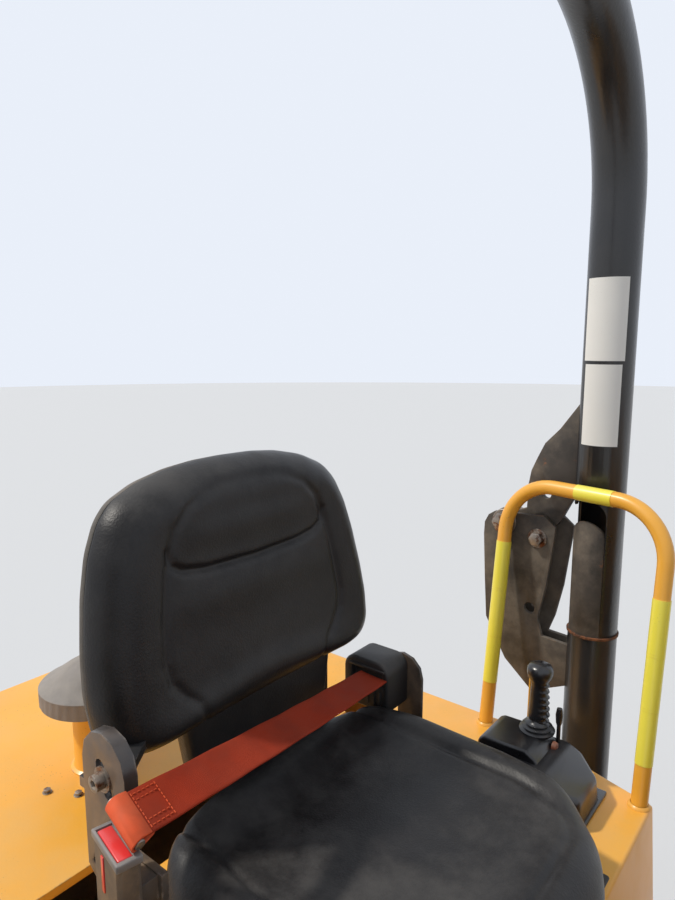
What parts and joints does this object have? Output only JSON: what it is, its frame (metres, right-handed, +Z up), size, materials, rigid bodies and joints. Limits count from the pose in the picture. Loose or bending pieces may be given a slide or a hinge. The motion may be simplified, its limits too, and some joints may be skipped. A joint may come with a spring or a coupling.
{
  "type": "articulated site dumper",
  "caption": "Site dumper with front tipping skip, articulated chassis, open driver's seat, grab rails and folding roll-over hoop.",
  "frame": {"origin": "on the ground, under the middle of the machine's box, on the middle plane of the chassis", "axes": "+X forwards to the skip's lip, +Y to the driver's left, +Z up"},
  "size_m": [4.3, 2.24, 2.931],
  "materials": {
    "machine_yellow": "satin, weathered",
    "frame_black": "satin, dusty",
    "grab_yellow": "satin, dusty",
    "axle_black": "satin",
    "engine_grey": "matte",
    "black_plastic": "matte",
    "seat_vinyl": "satin, dusty",
    "bracket_steel": "worn, with rust",
    "belt_orange": "woven",
    "lamp_red": "gloss",
    "beacon_amber": "gloss",
    "cap_grey": "dusty",
    "ram_rod": "polished",
    "ram_black": "satin",
    "tyre": "dusty",
    "rim_yellow": "satin, dusty"
  },
  "bodies": {
    "rear_chassis": {"chassis_rail_left": "frame_black", "chassis_rail_right": "frame_black", "pivot_yoke": "frame_black", "post_outrigger": "machine_yellow", "counterweight": "frame_black", "rear_axle": "axle_black", "engine_bearers": "frame_black", "engine_block": "engine_grey", "deck_left": "machine_yellow", "deck_right": "machine_yellow", "seat_plinth": "machine_yellow", "floor_plate": "machine_yellow", "step_left": "machine_yellow", "step_right": "machine_yellow", "hoop_post_left": "frame_black", "hoop_post_right": "frame_black", "grab_rail_left": "grab_yellow", "grab_rail_right": "grab_yellow", "bonnet_hinges": "machine_yellow", "seat_base": "black_plastic", "seat_cushion": "seat_vinyl", "seat_back": "seat_vinyl", "seat_shell": "black_plastic", "seat_brackets": "bracket_steel", "belt_buckle": "bracket_steel", "belt_retractor": "black_plastic", "lap_belt": "belt_orange", "control_console": "black_plastic", "control_levers": "black_plastic", "steering_column": "frame_black", "binnacle": "black_plastic", "steer_anchor": "frame_black", "rear_lamps": "lamp_red"},
    "bonnet_body": {"bonnet": "machine_yellow", "intake_cap": "cap_grey"},
    "hoop": {"rollover_hoop": "frame_black", "beacons": "beacon_amber"},
    "steering_wheel_body": {"steering_wheel": "black_plastic"},
    "wheel_rear_left": {"tyre_rear_left": "tyre", "rim_rear_left": "rim_yellow"},
    "wheel_rear_right": {"tyre_rear_right": "tyre", "rim_rear_right": "rim_yellow"},
    "wheel_front_left": {"tyre_front_left": "tyre", "rim_front_left": "rim_yellow"},
    "wheel_front_right": {"tyre_front_right": "tyre", "rim_front_right": "rim_yellow"},
    "pivot_body": {"centre_pivot": "frame_black"},
    "front_chassis": {"front_yoke": "frame_black", "front_plate_left": "frame_black", "front_plate_right": "frame_black", "front_axle": "axle_black", "tip_pins": "bracket_steel"},
    "skip_body": {"skip": "machine_yellow"},
    "tip_ram_barrels_body": {"tip_ram_barrels": "ram_black"},
    "tip_ram_rods_body": {"tip_ram_rods": "ram_rod"},
    "steer_ram_barrel_body": {"steer_ram_barrel": "ram_black"},
    "steer_ram_rod_body": {"steer_ram_rod": "ram_rod"}
  },
  "joints": [
    {"name": "rear_left_wheel_roll", "type": "hinge", "parent": "rear_chassis", "child": "wheel_rear_left", "pos_m": [-1.4, 0.92, 0.54], "axis": [0, 1, 0], "continuous": true},
    {"name": "rear_right_wheel_roll", "type": "hinge", "parent": "rear_chassis", "child": "wheel_rear_right", "pos_m": [-1.4, -0.92, 0.54], "axis": [0, 1, 0], "continuous": true},
    {"name": "front_left_wheel_roll", "type": "hinge", "parent": "front_chassis", "child": "wheel_front_left", "pos_m": [0.9, 0.92, 0.54], "axis": [0, 1, 0], "continuous": true},
    {"name": "front_right_wheel_roll", "type": "hinge", "parent": "front_chassis", "child": "wheel_front_right", "pos_m": [0.9, -0.92, 0.54], "axis": [0, 1, 0], "continuous": true},
    {"name": "articulated_steering", "type": "hinge", "parent": "rear_chassis", "child": "pivot_body", "pos_m": [-0.25, 0, 0.57], "axis": [0, 0, 1], "range_deg": [-33, 33]},
    {"name": "chassis_oscillation", "type": "hinge", "parent": "pivot_body", "child": "front_chassis", "pos_m": [-0.25, 0, 0.57], "axis": [1, 0, 0], "range_deg": [-12, 12]},
    {"name": "skip_tip", "type": "hinge", "parent": "front_chassis", "child": "skip_body", "pos_m": [1.25, 0, 0.8], "axis": [0, 1, 0], "range_deg": [0, 65]},
    {"name": "tip_ram_swing", "type": "hinge", "parent": "front_chassis", "child": "tip_ram_barrels_body", "pos_m": [0.55, 0, 0.45], "axis": [0, 1, 0], "range_deg": [-11, 1]},
    {"name": "tip_ram_extend", "type": "slide", "parent": "tip_ram_barrels_body", "child": "tip_ram_rods_body", "axis": [0.7526, 0, 0.6585], "range_m": [-0.001, 0.31]},
    {"name": "steer_ram_swing", "type": "hinge", "parent": "rear_chassis", "child": "steer_ram_barrel_body", "pos_m": [-0.85, -0.2462, 0.56], "axis": [0, 0, 1], "range_deg": [-4, 4]},
    {"name": "steer_ram_extend", "type": "slide", "parent": "steer_ram_barrel_body", "child": "steer_ram_rod_body", "axis": [1, 0, 0], "range_m": [-0.135, 0.135]},
    {"name": "hoop_fold", "type": "hinge", "parent": "rear_chassis", "child": "hoop", "pos_m": [-0.87, 0, 1.9], "axis": [0, 1, 0], "range_deg": [-90, 0]},
    {"name": "bonnet_lift", "type": "hinge", "parent": "rear_chassis", "child": "bonnet_body", "pos_m": [-1.08, 0, 1.49], "axis": [0, 1, 0], "range_deg": [0, 35]},
    {"name": "steering_wheel_turn", "type": "hinge", "parent": "rear_chassis", "child": "steering_wheel_body", "pos_m": [-0.26, 0, 1.74], "axis": [-0.3746, 0, 0.9272], "continuous": true}
  ],
  "couplings": [
    {"joint": "tip_ram_swing", "follows": "skip_tip", "ratio": -0.15974},
    {"joint": "tip_ram_extend", "follows": "skip_tip", "m_per_rad": 0.27046},
    {"joint": "steer_ram_swing", "follows": "articulated_steering", "ratio": -0.10716},
    {"joint": "steer_ram_extend", "follows": "articulated_steering", "m_per_rad": 0.22894}
  ]
}
